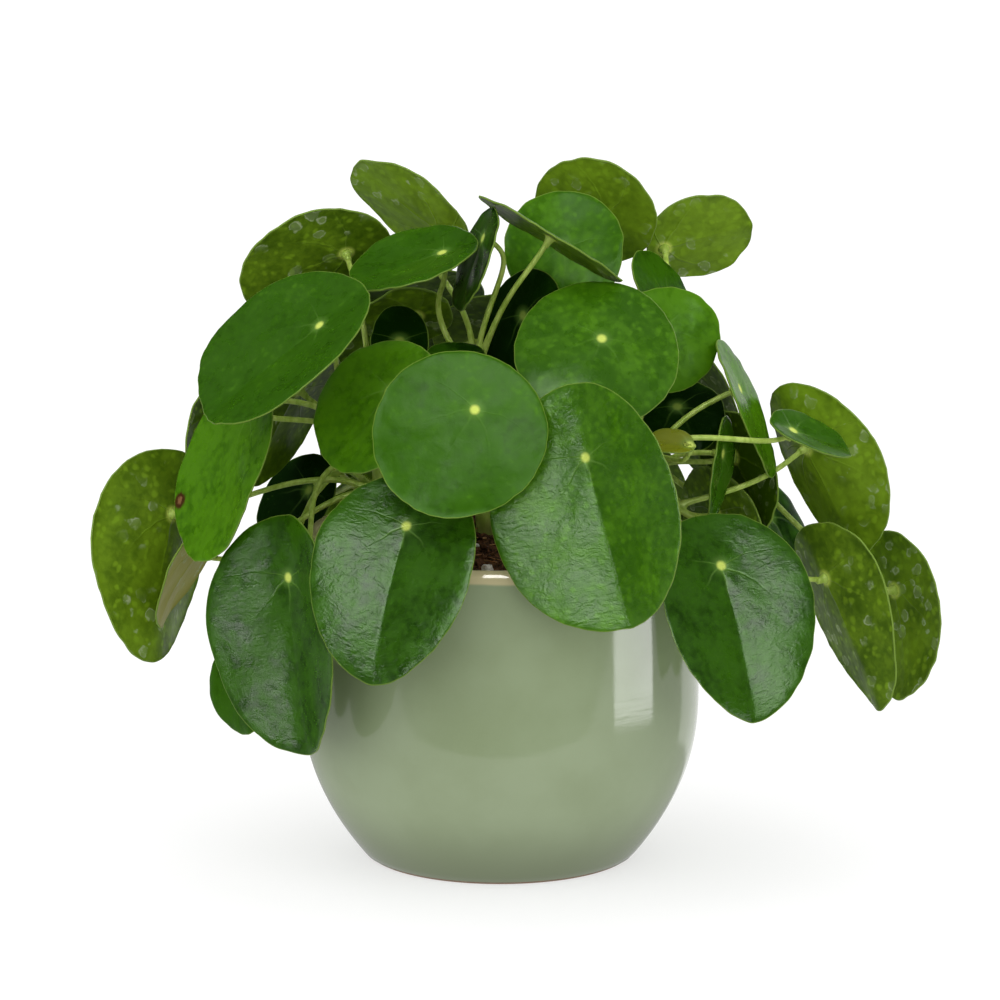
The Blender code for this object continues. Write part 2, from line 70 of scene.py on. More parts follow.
class Wiring:
    """Adds nodes to a shader's tree and links them."""

    def __init__(self, tree: bpy.types.NodeTree) -> None:
        """Starts on a tree."""
        self.tree = tree

    def plug(self, socket: Socket, value: Value) -> None:
        """Links or sets one input.

        Args:
            socket: The input to fill.
            value: Another node's output, or a plain value.
        """
        if isinstance(value, Socket):
            self.tree.links.new(value, socket)
        else:
            socket.default_value = value

    def node(self, kind: str, inputs: dict[Any, Value] | None = None, **settings: Any) -> bpy.types.Node:
        """Adds a node.

        Args:
            kind: The node's type.
            inputs: Values or links for its inputs, by name or index.
            settings: Properties to set on it first.

        Returns:
            The new node.
        """
        made = self.tree.nodes.new(kind)
        for name, setting in settings.items():
            setattr(made, name, setting)
        for key, value in (inputs or {}).items():
            self.plug(made.inputs[key], value)
        return made

    def stretch(self, place: Socket, scale: Triple) -> Socket:
        """The place scaled by a different amount along each axis."""
        return self.node("ShaderNodeMapping", {"Vector": place, "Scale": scale}).outputs["Vector"]

    def noise(self, place: Socket, scale: float, detail: float = 2.0, warp: float = 0.0) -> Socket:
        """Soft random values from 0 to 1, so many patches a unit, with finer detail, pulled by a warp."""
        inputs = {"Vector": place, "Scale": scale, "Detail": detail, "Distortion": warp}
        return self.node("ShaderNodeTexNoise", inputs).outputs["Fac"]

    def patches(self, place: Socket, scale: float, detail: float, limits: Pair = (0.3, 0.7),
                levels: Pair = (0.0, 1.0), warp: float = 0.0) -> Socket:
        """Soft patches: noise that changes from one level to another between two limits."""
        return self.fade(self.noise(place, scale, detail, warp), *limits, *levels)

    def cells(self, place: Socket, scale: float) -> Socket:
        """Distances to the nearest of many scattered points."""
        return self.node("ShaderNodeTexVoronoi", {"Vector": place, "Scale": scale}).outputs["Distance"]

    def wandered(self, place: Socket, scale: float, reach: float) -> Socket:
        """The place pulled about by soft noise, so that what is drawn there is irregular.

        Args:
            place: Where the noise is read.
            scale: How many patches the noise has a unit.
            reach: How far it pulls.

        Returns:
            The wandering place.
        """
        inputs = {"Vector": place, "Scale": scale, "Detail": 3.0}
        pull = self.node("ShaderNodeTexNoise", inputs).outputs["Color"]
        return self.vector("ADD", place, self.scaled(pull, reach))

    def maths(self, operation: str, *values: Value) -> Socket:
        """One arithmetic step on its values."""
        inputs = dict(enumerate(values))
        return self.node("ShaderNodeMath", inputs, operation=operation).outputs[0]

    def times(self, first: Value, second: Value) -> Socket:
        """The product of two values."""
        return self.maths("MULTIPLY", first, second)

    def plus(self, first: Value, second: Value) -> Socket:
        """The sum of two values."""
        return self.maths("ADD", first, second)

    def fade(self, value: Socket, start: float, end: float, low: float = 0.0, high: float = 1.0) -> Socket:
        """A smooth change from one level to another as a value goes from start to end.

        Args:
            value: What to read.
            start: Where the change starts.
            end: Where it ends.
            low: The level at the start.
            high: The level at the end.

        Returns:
            The level.
        """
        names = ("Value", "From Min", "From Max", "To Min", "To Max")
        inputs = dict(zip(names, (value, start, end, low, high)))
        made = self.node("ShaderNodeMapRange", inputs, interpolation_type="SMOOTHSTEP")
        return made.outputs["Result"]

    def blend(self, share: Value, first: Value, second: Value) -> Socket:
        """Two colours mixed by a share."""
        inputs = {0: share, 6: first, 7: second}
        return self.node("ShaderNodeMix", inputs, data_type="RGBA").outputs[2]

    def layers(self, colour: Value, *coats: tuple[Value, Value]) -> Value:
        """A colour with others laid over it in turn.

        Args:
            colour: The colour below.
            coats: The share and tint of each coat, lowest first.

        Returns:
            The colour on top.
        """
        for share, tint in coats:
            colour = self.blend(share, colour, tint)
        return colour

    def vector(self, operation: str, *values: Value) -> Socket:
        """One step of vector arithmetic, whose result is a vector."""
        inputs = dict(enumerate(values))
        return self.node("ShaderNodeVectorMath", inputs, operation=operation).outputs[0]

    def scaled(self, place: Socket, scale: float) -> Socket:
        """A vector made longer or shorter."""
        return self.node("ShaderNodeVectorMath", {0: place, "Scale": scale}, operation="SCALE").outputs[0]

    def length(self, offset: Socket) -> Socket:
        """The length of a vector."""
        return self.node("ShaderNodeVectorMath", {0: offset}, operation="LENGTH").outputs["Value"]

    def parts(self, place: Socket) -> bpy.types.NodeOutputs:
        """The X, Y and Z of a vector."""
        return self.node("ShaderNodeSeparateXYZ", {"Vector": place}).outputs

    def window(self, value: Socket, limits: Pair, soft: float) -> Socket:
        """1 between two limits and 0 outside them.

        Args:
            value: What to read.
            limits: Where the window starts and ends.
            soft: How far each edge of it is spread.

        Returns:
            The level.
        """
        start = self.fade(value, limits[0] - soft / 2, limits[0] + soft / 2)
        end = self.fade(value, limits[1] + soft / 2, limits[1] - soft / 2)
        return self.times(start, end)


class Recipe(Wiring):
    """Builds one material's nodes round its Principled shader."""

    def __init__(self, name: str) -> None:
        """Starts a material with a Principled shader.

        Args:
            name: The material's name.
        """
        self.material = bpy.data.materials.new(name)
        self.material.use_nodes = True
        super().__init__(self.material.node_tree)
        self.shader = self.tree.nodes["Principled BSDF"]

    def place(self) -> Socket:
        """The place on the piece in its own coordinates, in metres."""
        return self.node("ShaderNodeTexCoord").outputs["Object"]

    def sheet_place(self) -> Socket:
        """The place on the piece's own UV map."""
        return self.node("ShaderNodeUVMap", uv_map="blade").outputs["UV"]

    def attribute(self, name: str) -> Socket:
        """A number stored on the mesh under a name."""
        return self.node("ShaderNodeAttribute", attribute_name=name).outputs["Fac"]

    def bump(self, height: Socket, depth: float, below: Socket | None = None) -> Socket:
        """A bumped normal.

        Args:
            height: The heights, from 0 to 1.
            depth: How deep a change from 0 to 1 is, in metres.
            below: A normal that is already bumped.

        Returns:
            The normal.
        """
        inputs: dict[Any, Value] = {"Height": height, "Distance": depth}
        if below:
            inputs["Normal"] = below
        return self.node("ShaderNodeBump", inputs).outputs["Normal"]

    def finish(self, **inputs: Value) -> Material:
        """Fills the shader's inputs and hands the material over.

        Args:
            inputs: Values by the input's name, with underscores for spaces.

        Returns:
            The material.
        """
        for name, value in inputs.items():
            self.plug(self.shader.inputs[name.replace("_", " ")], value)
        return self.material


def make_piece(name: str, shape: Shape, materials: Sequence[Material]) -> Piece:
    """Makes a smooth-shaded object from a mesh in work.

    Args:
        name: The piece's name.
        shape: Its mesh, which is freed.
        materials: Its materials in slot order.

    Returns:
        The new object.
    """
    mesh = bpy.data.meshes.new(name)
    shape.to_mesh(mesh)
    shape.free()
    for material in materials:
        mesh.materials.append(material)
    mesh.shade_smooth()
    piece = bpy.data.objects.new(name, mesh)
    bpy.context.scene.collection.objects.link(piece)
    return piece


def fit(piece: Piece, slot: str, *nodes: str) -> Piece:
    """Fixes a piece to the plant's body, hides the solids that it replaces and logs its face count.

    Args:
        piece: The finished piece.
        slot: The record's material slot; not used.
        nodes: The solids that it replaces.

    Returns:
        The piece.
    """
    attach(piece, BODY)
    if nodes:
        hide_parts(*nodes)
    LOG.info("%s: %d faces", piece.name, len(piece.data.polygons))
    return piece


def turn_profile(shape: Shape, profile: Sequence[Pair], steps: int,
                 merge: float = WELD) -> list[Vertex]:
    """Turns a profile about the Z axis, inside a mesh whose finished vertices are tagged.

    Args:
        shape: The mesh to add to.
        profile: (radius, height) points from the axis outwards, and back to it where the shape is closed.
        steps: How many steps a full turn takes.
        merge: Points nearer than this become one.

    Returns:
        The vertices that aren't tagged, which are the new ones.
    """
    chain = [shape.verts.new((radius, 0, height)) for radius, height in profile]
    spine = [shape.edges.new(pair) for pair in zip(chain, chain[1:])]
    bmesh.ops.spin(shape, geom=chain + spine, axis=(0, 0, 1), angle=math.tau, steps=steps, use_merge=True)
    bmesh.ops.remove_doubles(shape, verts=[vertex for vertex in shape.verts if not vertex.tag], dist=merge)
    return [vertex for vertex in shape.verts if not vertex.tag]


def lathe(profile: Sequence[Pair], steps: int) -> Shape:
    """Turns a closed profile about the Z axis.

    Args:
        profile: (radius, height) points from axis to axis.
        steps: How many steps a full turn takes.

    Returns:
        The turned mesh, facing outwards.
    """
    shape = bmesh.new()
    turn_profile(shape, profile, steps)
    bmesh.ops.recalc_face_normals(shape, faces=shape.faces)
    return shape


def smooth_step(value: float, start: float, end: float) -> float:
    """A smooth change from 0 to 1 as a value goes from start to end."""
    share = min(1.0, max(0.0, (value - start) / (end - start)))
    return share * share * (3 - 2 * share)


def spread(first: float, last: float, count: int) -> list[float]:
    """Evenly spaced values from first to last, both included."""
    return [first + (last - first) * index / (count - 1) for index in range(count)]


# ---- Pot ----


@dataclass(frozen=True)
class Glaze:
    """A glossy sage glaze that thins to buff clay at the lip and stops at the foot, with painted shade
    darkening its lowest part.
    """

    sage: Colour = (0.285, 0.352, 0.198, 1)
    pale_sage: Colour = (0.320, 0.392, 0.232, 1)
    # Painted shade: the colour the wall darkens to towards the foot, standing in for the shade where the pot
    # meets the floor.
    foot_shade: Colour = (0.165, 0.205, 0.108, 1)
    foot_shade_height: float = 40 * MM
    buff: Colour = (0.66, 0.59, 0.34, 1)
    clay: Colour = (0.21, 0.125, 0.065, 1)
    lip_start: float = 143.2 * MM
    lip_end: float = 144.6 * MM
    lip_wander: float = 1.2 * MM
    foot: float = 1.4 * MM

    def material(self) -> Material:
        """The glaze's material."""
        recipe = Recipe("sage_glaze")
        place = recipe.place()
        height = recipe.parts(place)["Z"]
        cloud = recipe.patches(place, 28, 4, (0.3, 0.72))
        speck = recipe.patches(place, 900, 2, (0.35, 0.7))
        level = recipe.plus(height, recipe.times(recipe.noise(place, 60, 3), self.lip_wander))
        foot = recipe.fade(height, self.foot, 0.6 * self.foot)
        colour = recipe.layers(
            self.sage,
            (cloud, self.pale_sage),
            (recipe.times(speck, 0.10), self.pale_sage),
            # painted shade, darker towards the foot
            (recipe.fade(height, self.foot_shade_height, 0.0), self.foot_shade),
            (recipe.fade(level, self.lip_start, self.lip_end), self.buff),
            (foot, self.clay),
        )
        rings = recipe.noise(recipe.stretch(place, (1, 1, 7)), 42, 2)
        ripples = recipe.bump(rings, 0.03 * MM)
        pits = recipe.bump(recipe.noise(place, 420, 2), 0.006 * MM, ripples)
        rough = recipe.patches(place, 40, 3, levels=(0.07, 0.12))
        rough = recipe.plus(rough, recipe.times(foot, 0.5))
        return recipe.finish(Base_Color=colour, Roughness=rough, Normal=pits, IOR=1.5,
                             Specular_IOR_Level=0.95)


@dataclass
class GlazedPot:
    """The round pot: a bowl with an upper wall that leans in a little, and a soft round lip."""

    height: float = 149 * MM
    belly_radius: float = 90 * MM
    belly_height: float = 75 * MM
    foot_radius: float = 60.5 * MM
    lip_radius: float = 87 * MM
    wall: float = 6 * MM
    floor: float = 8 * MM
    foot_bevel: float = 1.5 * MM
    lower_power: float = 2.2
    steps: int = 160
    wobble: float = 0.12 * MM
    glaze: Glaze = field(default_factory=Glaze)

    def radius(self, height: float) -> float:
        """Outer radius of the wall at a height.

        Args:
            height: Height above the base.

        Returns:
            The radius.
        """
        if height < self.belly_height:
            drop = (self.belly_height - height) / self.belly_height
            return self.belly_radius - (self.belly_radius - self.foot_radius) * drop**self.lower_power
        rise = (height - self.belly_height) / (self.height - self.belly_height)
        return self.belly_radius - (self.belly_radius - self.lip_radius) * rise**2

    def profile(self) -> list[Pair]:
        """The wall's outline, from the middle of the inner floor over the lip to the middle of the base.

        Returns:
            (radius, height) points.
        """
        lip = self.wall / 2
        top = self.height - lip
        points = [(0.0, self.floor), (0.5 * self.foot_radius, self.floor)]
        points += [(self.radius(level) - self.wall, level) for level in spread(self.floor, top, 24)]
        for angle in spread(165, 15, 11):
            turn = math.radians(angle)
            points.append((self.radius(top) - lip + lip * math.cos(turn), top + lip * math.sin(turn)))
        points += [(self.radius(level), level) for level in spread(top, self.foot_bevel, 48)]
        for angle in spread(-20, -90, 5):
            turn = math.radians(angle)
            bevel = self.foot_bevel
            points.append((self.foot_radius - bevel * (1 - math.cos(turn)), bevel * (1 + math.sin(turn))))
        points += [(0.5 * self.foot_radius, 0.0), (0.0, 0.0)]
        return points

    def build(self) -> Piece:
        """Builds the glazed pot.

        Returns:
            The pot, in place of its solid.
        """
        shape = lathe(self.profile(), self.steps)
        for vertex in shape.verts:
            share = smooth_step(vertex.co.z, 2 * MM, 30 * MM)
            push = noise.noise(vertex.co * 22) * self.wobble * share
            out = Vector((vertex.co.x, vertex.co.y, 0))
            if out.length > 0:
                vertex.co += out.normalized() * push
        return fit(make_piece("glazed_pot", shape, [self.glaze.material()]), "pot", "pot")


# ---- Soil ----


@dataclass(frozen=True)
class Peat:
    """Dark damp potting soil, coarse and fibrous."""

    dark: Colour = (0.024, 0.010, 0.004, 1)
    brown: Colour = (0.13, 0.055, 0.022, 1)
    rust: Colour = (0.30, 0.12, 0.045, 1)

    def material(self) -> Material:
        """The soil's material."""
        recipe = Recipe("damp_peat")
        place = recipe.place()
        clods = recipe.patches(place, 330, 5, (0.36, 0.66), warp=0.6)
        flecks = recipe.patches(place, 1100, 2, (0.6, 0.72))
        colour = recipe.layers(self.dark, (clods, self.brown), (recipe.times(flecks, 0.7), self.rust))
        lumps = recipe.bump(recipe.noise(place, 420, 5, 0.5), 1.6 * MM)
        grains = recipe.bump(recipe.cells(place, 900), 0.5 * MM, lumps)
        return recipe.finish(Base_Color=colour, Roughness=0.85, Specular_IOR_Level=0.2, Normal=grains)


@dataclass(frozen=True)
class Perlite:
    """Dull white puffed granules, stained by the soil."""

    white: Colour = (0.62, 0.58, 0.52, 1)
    stain: Colour = (0.28, 0.20, 0.14, 1)

    def material(self) -> Material:
        """The granules' material."""
        recipe = Recipe("perlite")
        place = recipe.place()
        stain = recipe.patches(place, 500, 3, (0.5, 0.75))
        colour = recipe.blend(stain, self.white, self.stain)
        pits = recipe.bump(recipe.cells(place, 1500), 0.3 * MM)
        return recipe.finish(Base_Color=colour, Roughness=0.8, Normal=pits)


@dataclass(frozen=True)
class DryScale:
    """Papery orange-brown scales shed by the stems."""

    rust: Colour = (0.30, 0.115, 0.03, 1)
    tan: Colour = (0.42, 0.24, 0.09, 1)

    def material(self) -> Material:
        """The scales' material."""
        recipe = Recipe("dry_scale")
        place = recipe.place()
        colour = recipe.blend(recipe.patches(place, 300, 3, (0.35, 0.7)), self.rust, self.tan)
        ribs = recipe.bump(recipe.noise(recipe.stretch(place, (6, 1, 1)), 400, 2), 0.3 * MM)
        return recipe.finish(Base_Color=colour, Roughness=0.6, Normal=ribs)


@dataclass
class SoilBed:
    """The soil in the pot, with loose crumbs, perlite granules and peat fibres on it."""

    pot: GlazedPot
    level: float = 144 * MM
    crown: float = 2 * MM
    clearance: float = 0.6 * MM
    rings: int = 64
    steps: int = 150
    crumbs: int = 420
    crumb_sizes: Pair = (0.7 * MM, 2.8 * MM)
    granules: int = 46
    granule_sizes: Pair = (0.6 * MM, 2.4 * MM)
    fibres: int = 60
    fibre_lengths: Pair = (4 * MM, 11 * MM)
    seed: int = 11
    large_grain: float = 2.8 * MM
    large_grain_bearing: float = math.radians(-94.5)
    large_grain_inset: float = 11 * MM
    peat: Peat = field(default_factory=Peat)
    perlite: Perlite = field(default_factory=Perlite)
    scale: DryScale = field(default_factory=DryScale)

    def height(self, x: float, y: float) -> float:
        """Height of the soil's lumpy top at a place.

        Args:
            x: Distance from the axis to the right.
            y: Distance from the axis to the back.

        Returns:
            The height above the pot's base.
        """
        broad = noise.noise(Vector((x, y, 0)) * 90) + 0.6 * noise.noise(Vector((x, y, 0.05)) * 220)
        fine = noise.fractal(Vector((x, y, 0.3)) * 420, 0.9, 2.1, 3)
        ridge = abs(noise.noise(Vector((x, y, 0.7)) * 260))
        crown = self.crown * (1 - (math.hypot(x, y) / self.pot.belly_radius) ** 2)
        return self.level + crown + (1.2 * broad + 0.9 * fine - 1.4 * ridge + 0.3) * MM

    def edge(self) -> float:
        """Radius of the soil's top."""
        return self.pot.radius(self.level) - self.pot.wall - self.clearance

    def any_place(self, draw: random.Random, inset: float) -> Pair:
        """A random place on the soil.

        Args:
            draw: Where chance comes from.
            inset: The least distance from the soil's edge.

        Returns:
            The place's x and y.
        """
        reach = (self.edge() - inset) * math.sqrt(draw.random())
        angle = draw.uniform(0, math.tau)
        return reach * math.cos(angle), reach * math.sin(angle)

    def build_bed(self) -> Piece:
        """Builds the soil's body with its lumpy top.

        Returns:
            The soil, in place of its solid.
        """
        points = [(radius, self.level) for radius in spread(0, self.edge(), self.rings)]
        floor = self.pot.floor + self.clearance
        for level in spread(self.level - 4 * MM, floor, 16):
            points.append((self.pot.radius(level) - self.pot.wall - self.clearance, level))
        points.append((0.0, floor))
        shape = lathe(points, self.steps)
        for vertex in shape.verts:
            if vertex.co.z > self.level - MM:
                vertex.co.z = self.height(vertex.co.x, vertex.co.y)
        return fit(make_piece("soil_bed", shape, [self.peat.material()]), "soil", "soil")

    def add_grain(self, shape: Shape, x: float, y: float, size: float, detail: int, squash: float,
                  draw: random.Random) -> None:
        """Adds one lumpy grain that lies on the soil.

        Args:
            shape: The mesh of all the grains.
            x: Where it lies.
            y: Where it lies.
            size: Its radius.
            detail: Levels of detail.
            squash: How flat it may be.
            draw: Where chance comes from.
        """
        turn = Matrix.Rotation(draw.uniform(0, math.tau), 4, "Z")
        turn @= Matrix.Rotation(draw.uniform(-0.7, 0.7), 4, "X")
        flat = Matrix.Diagonal((1, draw.uniform(0.6, 1), draw.uniform(squash, 1), 1))
        spot = Matrix.Translation((x, y, self.height(x, y) + 0.25 * size))
        grain = bmesh.ops.create_icosphere(shape, subdivisions=detail, radius=size)
        shift = Vector((draw.uniform(0, 9), draw.uniform(0, 9), 0))
        for vertex in grain["verts"]:
            vertex.co *= 1 + 0.55 * noise.noise(vertex.co / size * 1.7 + shift)
        bmesh.ops.transform(shape, matrix=spot @ turn @ flat, verts=grain["verts"])

    def scatter(self, name: str, count: int, sizes: Pair, material: Material, squash: float,
                draw: random.Random, large: float = 0.0) -> Piece:
        """Scatters lumpy grains over the soil.

        Args:
            name: The piece's name.
            count: How many grains.
            sizes: Least and greatest radius.
            material: What they are made of.
            squash: How flat a grain may be.
            draw: Where chance comes from.
            large: Radius of one larger grain at the front edge, or 0 for none.

        Returns:
            The grains as one piece.
        """
        shape = bmesh.new()
        for _ in range(count):
            x, y = self.any_place(draw, 3 * MM)
            size = sizes[0] + (sizes[1] - sizes[0]) * draw.random() ** 2.2
            self.add_grain(shape, x, y, size, 2, squash, draw)
        if large:
            reach, angle = self.edge() - self.large_grain_inset, self.large_grain_bearing
            self.add_grain(shape, reach * math.cos(angle), reach * math.sin(angle), large, 3, squash, draw)
        return fit(make_piece(name, shape, [material]), "soil")

    def build_fibres(self, draw: random.Random) -> Piece:
        """Scatters thin bits of peat fibre and bark over the soil.

        Args:
            draw: Where chance comes from.

        Returns:
            The fibres as one piece.
        """
        shape = bmesh.new()
        for _ in range(self.fibres):
            x, y = self.any_place(draw, 6 * MM)
            length = draw.uniform(*self.fibre_lengths)
            bit = bmesh.ops.create_cone(shape, segments=5, radius1=draw.uniform(0.25, 0.5) * MM,
                                        radius2=0.18 * MM, depth=length, cap_ends=True)
            tilt = Matrix.Rotation(math.pi / 2 + draw.uniform(-0.3, 0.15), 4, "X")
            turn = Matrix.Rotation(draw.uniform(0, math.tau), 4, "Z")
            spot = Matrix.Translation((x, y, self.height(x, y) + 0.9 * MM))
            bmesh.ops.transform(shape, matrix=spot @ turn @ tilt, verts=bit["verts"])
        return fit(make_piece("peat_fibres", shape, [self.scale.material()]), "soil")

    def build(self) -> list[Piece]:
        """Builds the soil and all that lies on it.

        Returns:
            The pieces.
        """
        draw = random.Random(self.seed)
        return [
            self.build_bed(),
            self.scatter("soil_crumbs", self.crumbs, self.crumb_sizes, self.peat.material(), 0.6, draw),
            self.scatter("perlite_grains", self.granules, self.granule_sizes, self.perlite.material(), 0.7,
                         draw, self.large_grain),
            self.build_fibres(draw),
        ]


# ---- Leaves ----


class Tone(Enum):
    """How yellow or dark a leaf is: the share of its light green. The two darkest tones are painted shade,
    given to leaves that sit in shade inside and behind the plant.
    """

    DEEP = 0.0
    SHADED = 0.2
    DARK = 0.38
    FRESH = 0.52
    BRIGHT = 0.7
    LIGHT = 0.9
    GOLDEN = 1.5


class Shine(Enum):
    """How strongly a leaf's skin mirrors."""

    POLISHED = 0.7
    GLOSSY = 0.3
    SATIN = 0.1
    SHADED = 0.05


@dataclass(frozen=True)
class LeafSkin:
    """The skin of a leaf's upper face, its underside and its rim.

    The blade's UV map has the leaf's stalk in its middle and its tip towards greater U, and 100 mm to a
    unit. Each main vein in vein_fan has its angle from the tip, how far it curls back, and its width.
    """

    # The darkest green is partly the leaves' own dark patches and partly painted shade, which the
    # darkest-toned leaves take.
    deep: Colour = (0.003, 0.018, 0.0004, 1)
    fresh: Colour = (0.030, 0.108, 0.0012, 1)
    light: Colour = (0.070, 0.205, 0.003, 1)
    golden: Colour = (0.17, 0.20, 0.004, 1)
    fleck: Colour = (0.10, 0.25, 0.01, 1)
    vein: Colour = (0.16, 0.32, 0.05, 1)
    hub: Colour = (0.60, 0.72, 0.13, 1)
    rim: Colour = (0.18, 0.29, 0.04, 1)
    scab: Colour = (0.055, 0.022, 0.006, 1)
    dry: Colour = (0.20, 0.10, 0.04, 1)
    # The underside greens: the darkest is partly painted shade for leaves in shade, and the palest is partly
    # painted light, the glow of light shining through the blade from behind.
    under_dark_and_shade: Colour = (0.040, 0.090, 0.001, 1)
    under_pale_and_backlit: Colour = (0.195, 0.34, 0.014, 1)
    under_dry: Colour = (0.36, 0.35, 0.09, 1)
    chalk: Colour = (0.42, 0.50, 0.30, 1)
    rim_brown: Colour = (0.19, 0.13, 0.04, 1)
    stalk: Triple = (0.5, 0.5, 0)
    vein_wander: float = 0.03
    vein_fan: tuple[Triple, ...] = ((0.0, 0.0, 0.011), (1.02, 0.95, 0.008), (1.95, 1.1, 0.005))
    quilt_depth: float = 0.22 * MM
    fold_depth: float = 0.30 * MM
    fine_depth: float = 0.10 * MM
    under_depth: float = 0.4 * MM
    shine: Shine = Shine.GLOSSY

    def veins(self, recipe: Recipe, place: Socket) -> Socket:
        """The main veins, which leave the stalk like fingers and bend towards the tip: 1 on a vein, 0 off it.

        Args:
            recipe: The material in work.
            place: The blade's UV map.

        Returns:
            The strength of the veins.
        """
        centred = recipe.vector("SUBTRACT", place, self.stalk)
        inputs = {"Vector": place, "Scale": 9.0, "Detail": 1.0}
        pull = recipe.node("ShaderNodeTexNoise", inputs).outputs["Color"]
        pull = recipe.scaled(recipe.vector("SUBTRACT", pull, (0.5, 0.5, 0.5)), self.vein_wander)
        centred = recipe.vector("ADD", centred, pull)
        parts = recipe.parts(centred)
        reach = recipe.length(centred)
        angle = recipe.maths("ABSOLUTE", recipe.maths("ARCTAN2", parts["Y"], parts["X"]))
        total: Socket | None = None
        for start, curl, width in self.vein_fan:
            bent = recipe.maths("SUBTRACT", start, recipe.times(reach, curl))
            aside = recipe.times(recipe.maths("ABSOLUTE", recipe.maths("SUBTRACT", angle, bent)), reach)
            line = recipe.times(recipe.fade(aside, width, 0.0), recipe.fade(reach, 0.42, 0.08))
            total = line if total is None else recipe.maths("MAXIMUM", total, line)
        return recipe.times(total, recipe.fade(reach, 0.5, 0.04))

    def own_place(self, recipe: Recipe, place: Socket) -> Socket:
        """The place on the blade, shifted so that no two leaves share a pattern."""
        shift = recipe.node("ShaderNodeCombineXYZ", {"Z": recipe.attribute("draw")}).outputs[0]
        return recipe.vector("ADD", place, shift)

    def reach(self, recipe: Recipe, place: Socket) -> Socket:
        """Distance from the stalk on the UV map."""
        inputs = {0: place, 1: self.stalk}
        return recipe.node("ShaderNodeVectorMath", inputs, operation="DISTANCE").outputs["Value"]

    def upper(self) -> Material:
        """The glossy, finely wrinkled upper face, whose darkest tones are painted shade."""
        recipe = Recipe(f"{self.shine.name.lower()}_leaf_upper")
        fade, patches, plus, times = recipe.fade, recipe.patches, recipe.plus, recipe.times
        place = recipe.sheet_place()
        seed = self.own_place(recipe, place)
        reach = self.reach(recipe, place)
        tone, edge, crinkle, scar = (recipe.attribute(name) for name in ("tone", "edge", "crinkle", "scar"))

        # The tone sets the leaf's share of light green; on the darkest-toned leaves this is painted shade.
        clouds = plus(patches(seed, 6, 3, levels=(-0.11, 0.11)), tone)
        mottle = patches(seed, 26, 3, (0.32, 0.7), (-1.0, 1.0))
        mottle = times(mottle, recipe.maths("MULTIPLY_ADD", tone, 0.10, 0.025))
        spots = fade(recipe.cells(recipe.wandered(seed, 9, 0.08), 21), 0.42, 0.12, -0.06, 0.20)
        share = plus(plus(clouds, mottle), times(spots, tone))
        flecks = patches(seed, 75, 2, (0.66, 0.74))
        veins = times(self.veins(recipe, place), fade(crinkle, 0.0, 0.7, 0.25, 1.0))
        # Painted shade: the pale hub dot is dimmed on the darkest-toned leaves, which sit in shade.
        hub = times(fade(reach, 0.029, 0.011), fade(tone, 0.0, 0.35, 0.3, 1.0))
        colour = recipe.layers(
            self.deep,
            (fade(share, 0.0, 0.5), self.fresh),
            (fade(share, 0.5, 1.0), self.light),
            (fade(tone, 1.1, 1.4), self.golden),
            (times(flecks, 0.12), self.fleck),
            (times(veins, fade(reach, 0.2, 0.02, 0.0, 0.4)), self.vein),
            (fade(reach, 0.06, 0.010, 0.0, 0.5), self.vein),
            (hub, self.hub),
            (fade(edge, 0.55, 0.15, 0.0, 0.8), self.rim),
            (fade(scar, 0.15, 0.4), self.scab),
            (fade(scar, 0.5, 0.75), self.dry),
        )

        quilt = recipe.bump(recipe.noise(seed, 13, 2, 0.4), self.quilt_depth)
        folds = recipe.noise(recipe.stretch(seed, (1, 0.55, 1)), 36, 2, 1.0)
        folds = recipe.bump(times(folds, fade(crinkle, 0.15, 1.0)), self.fold_depth, quilt)
        fine = times(recipe.noise(seed, 75, 2, 0.8), recipe.maths("MULTIPLY_ADD", crinkle, 0.8, 0.2))
        wrinkles = recipe.bump(fine, self.fine_depth, folds)
        grooved = recipe.bump(recipe.maths("SUBTRACT", 1.0, veins), self.fine_depth, wrinkles)
        rough = patches(seed, 12, 3, levels=(0.25, 0.34))
        return recipe.finish(Base_Color=colour, Roughness=rough, Normal=grooved, IOR=1.45,
                             Specular_IOR_Level=self.shine.value)

    def underside(self) -> Material:
        """The duller, paler underside with chalky rings, whose pale green is partly painted light shining
        through the blade from behind and whose darkest tones are painted shade.
        """
        recipe = Recipe(f"{self.shine.name.lower()}_leaf_underside")
        fade, patches, plus, times = recipe.fade, recipe.patches, recipe.plus, recipe.times
        place = recipe.sheet_place()
        seed = self.own_place(recipe, place)
        reach = self.reach(recipe, place)
        tone, edge = recipe.attribute("tone"), recipe.attribute("edge")

        clouds = patches(seed, 7, 2, levels=(-0.14, 0.14))
        clouds = recipe.maths("MULTIPLY_ADD", tone, 0.75, clouds)
        clouds = plus(patches(seed, 30, 3, levels=(-0.10, 0.08), warp=0.5), clouds)
        spots = fade(recipe.cells(recipe.wandered(seed, 9, 0.08), 19), 0.40, 0.12, 0.0, 0.38)
        share = plus(spots, clouds)
        dots = recipe.cells(recipe.wandered(seed, 14, 0.07), 11)
        ring = times(fade(dots, 0.22, 0.30), fade(dots, 0.38, 0.30))
        ring = times(ring, patches(seed, 30, 3, (0.35, 0.6)))
        chalk = recipe.maths("MAXIMUM", ring, fade(dots, 0.36, 0.24, 0.0, 0.25))
        chalk = times(chalk, patches(seed, 4.5, 2, (0.45, 0.6)))
        veins = self.veins(recipe, place)
        colour = recipe.layers(
            self.under_dark_and_shade,
            (fade(share, 0.0, 1.0), self.under_pale_and_backlit),
            (fade(tone, 1.1, 1.4), self.under_dry),
            (times(chalk, 0.75), self.chalk),
            (times(veins, 0.3), self.under_pale_and_backlit),
            (fade(reach, 0.05, 0.02), self.hub),
            (fade(edge, 0.5, 0.1, 0.0, 0.6), self.rim),
        )

